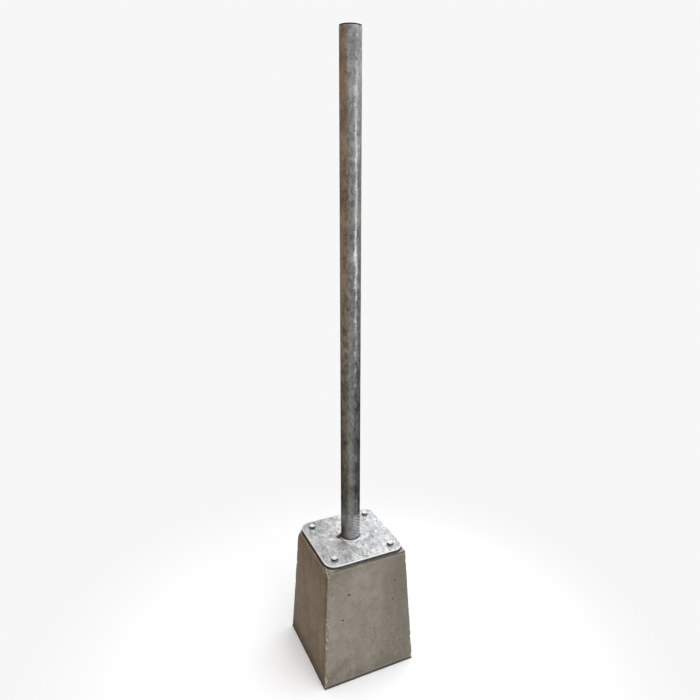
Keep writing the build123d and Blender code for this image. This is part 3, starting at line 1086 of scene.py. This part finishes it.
def make_bolt(place):
    """A hex bolt: chamfered and slightly dished head, washer face, and a cut thread on its shank."""
    node = f"bolt_{place}"
    centre, radii, heights, angles = around(node)
    low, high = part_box(node)
    corner = radii.max()
    turn = angles[np.argmax(radii)]
    flat_half = corner * cos(pi / 6)
    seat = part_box(f"washer_{place}")[1].z
    shank = radii[heights < seat - 5 * MM].max()
    top_round = radii[heights > high.z - SAME].max()
    drop = high.z - heights[radii > corner - SAME].max()
    slope = drop / (corner - top_round)
    rows = round((seat - 3 * MM - low.z) / THREAD_PITCH * THREAD_ROWS)
    profile = [(0, low.z), (shank * 0.5, low.z), (shank * 0.78, low.z + 0.1 * MM)]
    profile += [(shank, z) for z in np.linspace(low.z + 0.9 * MM, seat - 2.5 * MM, rows)]
    profile += [(shank, seat - 0.4 * MM), (shank + 0.4 * MM, seat)]
    profile += [(flat_half * 0.95, seat), (flat_half * 0.955, seat + 0.35 * MM)]
    walls = len(profile)
    profile += [(corner, seat + up * MM) for up in (0.35, 0.5, 2, 3.5, 4.6)]
    rim = len(profile)
    profile += [(corner, high.z - drop), (top_round, high.z), (top_round - 0.25 * MM, high.z)]
    dish = ((0.8, 0.12), (0.4, 0.28), (0, 0.3))  # shares of the round's radius, and depths in millimetres
    profile += [(top_round * share, high.z - depth * MM) for share, depth in dish]

    def shape(radius, height, angle):
        sixth = (angle - turn + pi / 6) % (pi / 3) - pi / 6
        hexagon = flat_half / np.cos(pi / 6 - np.abs(sixth))
        hexagon = np.minimum(hexagon, corner - 0.12 * MM)
        radius[walls:rim + 1] = hexagon[walls:rim + 1]
        height[rim] = high.z - (hexagon[rim] - top_round) * slope
        height[walls:rim] = np.minimum(height[walls:rim], height[rim] - 0.2 * MM)
        thread = (radius > shank - SAME) & (height < seat - 2.4 * MM) & (height > low.z + 0.5 * MM)
        turns = (height / THREAD_PITCH - angle / TURN) % 1
        groove = np.clip(1.25 - 2.5 * np.abs(turns - 0.5), 0, 1)
        run_in = fall(height, low.z + 0.6 * MM, low.z + 1.6 * MM)
        cut = THREAD_DEPTH * groove * fall(height, seat - 5 * MM, seat - 3 * MM)
        return np.where(thread, radius - cut - 0.5 * MM * run_in, radius), height

    mesh = turned_mesh(f"zinc_bolt_{place}", profile, BOLT_SEGMENTS, shape, centre)
    mark_sharp(mesh, SHARP_EDGE)
    height = places_of(mesh.vertices)[:, 2]
    # The head's sides are painted dark, as shade; its top stays bright
    add_piece(mesh, node, grime=fall(height, high.z - drop * 0.8, high.z - drop * 0.2))


def mark_sharp(mesh, angle):
    """Marks the edges sharper than this, which shading then doesn't smooth over."""
    cutter = bmesh.new()
    cutter.from_mesh(mesh)
    for edge in cutter.edges:
        edge.smooth = edge.calc_face_angle(0) < angle
    cutter.to_mesh(mesh)
    cutter.free()


def make_washer(place):
    """A punched washer: its upper edges are rolled over by the punch, and its lower ones nearly sharp."""
    node = f"washer_{place}"
    centre, radii, _, _ = around(node)
    low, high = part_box(node)
    outer, bore = radii.max(), radii.min()
    profile = [(bore, low.z), (outer, low.z), (outer, high.z), (bore, high.z)]
    profile = softened(profile, np.array([0.12, 0.12, 0.45, 0.45]) * MM, 4)
    mesh = turned_mesh(f"zinc_washer_{place}", profile, WASHER_SEGMENTS, None, centre)
    # The washer is painted dark all over, as shade round the bolt head
    add_piece(mesh, node, grime=np.full(len(mesh.vertices), 0.9))


def make_cap():
    """The push-in plastic cap: domed flange with a gate mark, and a skirt with three soft ribs."""
    low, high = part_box("end_cap")
    tube_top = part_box("post_tube")[1].z
    _, radii, heights, _ = around("end_cap")
    flange = radii.max()
    in_tube = heights < tube_top - 0.1 * MM
    rib = radii[in_tube].max()
    bore = radii[in_tube].min()
    lowest = radii[heights < low.z + SAME].max()
    rib_edges = np.unique(np.round(heights[in_tube & (radii > rib - SAME)], 5))
    rim_top = heights[radii > flange - SAME].max()
    profile = [(bore, tube_top - 0.5 * MM), (bore, low.z), (lowest, low.z)]
    for bottom, top in zip(rib_edges[::2], rib_edges[1::2]):
        profile += [(lowest, bottom), (rib, bottom), (rib, top), (lowest, top)]
    profile += [(lowest, tube_top), (flange, tube_top), (flange, rim_top)]
    profile = [(0, tube_top - 0.4 * MM), *profile, (flange, high.z)]
    skirt = softened(profile, 0.35 * MM, 3, closed=False)[:-1]
    dome = []
    for share in np.linspace(0.02, 1, DOME_RINGS):
        x = flange * (1 - share)
        rise = (high.z - rim_top) * (1 - (x / flange) ** 2.4) ** 0.62
        gate = 0.45 * MM * bell(x, 2.2 * MM, 4)
        ring = 0.12 * MM * bell(x - 0.62 * flange, 0.5 * MM)
        dome.append((x, rim_top + rise - gate - ring))
    dome[-1] = (0, dome[-1][1])
    add_piece(turned_mesh("plastic_end_cap", [*skirt, *dome], CAP_SEGMENTS), "end_cap")


# ---- The object

make_camera()
make_world()
make_lights()
make_floor()

plate_zinc = galvanised(
    "galvanised_plate", 9 * MM, tone=0.70, warmth=0.1, contrast=1.9, dull=0.12, stretch=(1, 0.5, 1),
    turn=(0, 0, 0.6), stain=BROWN_STAIN
)
tube_zinc = galvanised(
    "galvanised_tube", 9 * MM, tone=0.57, warmth=0.6, contrast=1.45, dull=-0.06, stretch=(1, 1, 0.5),
    turn=(0.7, 0.5, 0)
)
weld_zinc = galvanised("galvanised_weld", 5 * MM, tone=0.72, warmth=0.3)
finishes = {
    "concrete": concrete(),
    "galvanised_steel": plate_zinc,
    "zinc_fasteners": zinc_plating(),
    "socket_steel": turned_steel(),
    "black_plastic": black_plastic(),
}
slot_of_node = {row["node"]: row["material_slot"] for row in frame["record"]["subparts"]}
for node, piece in frame["nodes"].items():
    piece.data.materials.clear()
    piece.data.materials.append(finishes[slot_of_node[node]])

make_block()
make_plate()
make_tube()
make_weld()
make_cap()
for place in PLACES:
    make_bolt(place)
    make_washer(place)

bpy.context.scene.view_settings.view_transform = "Standard"
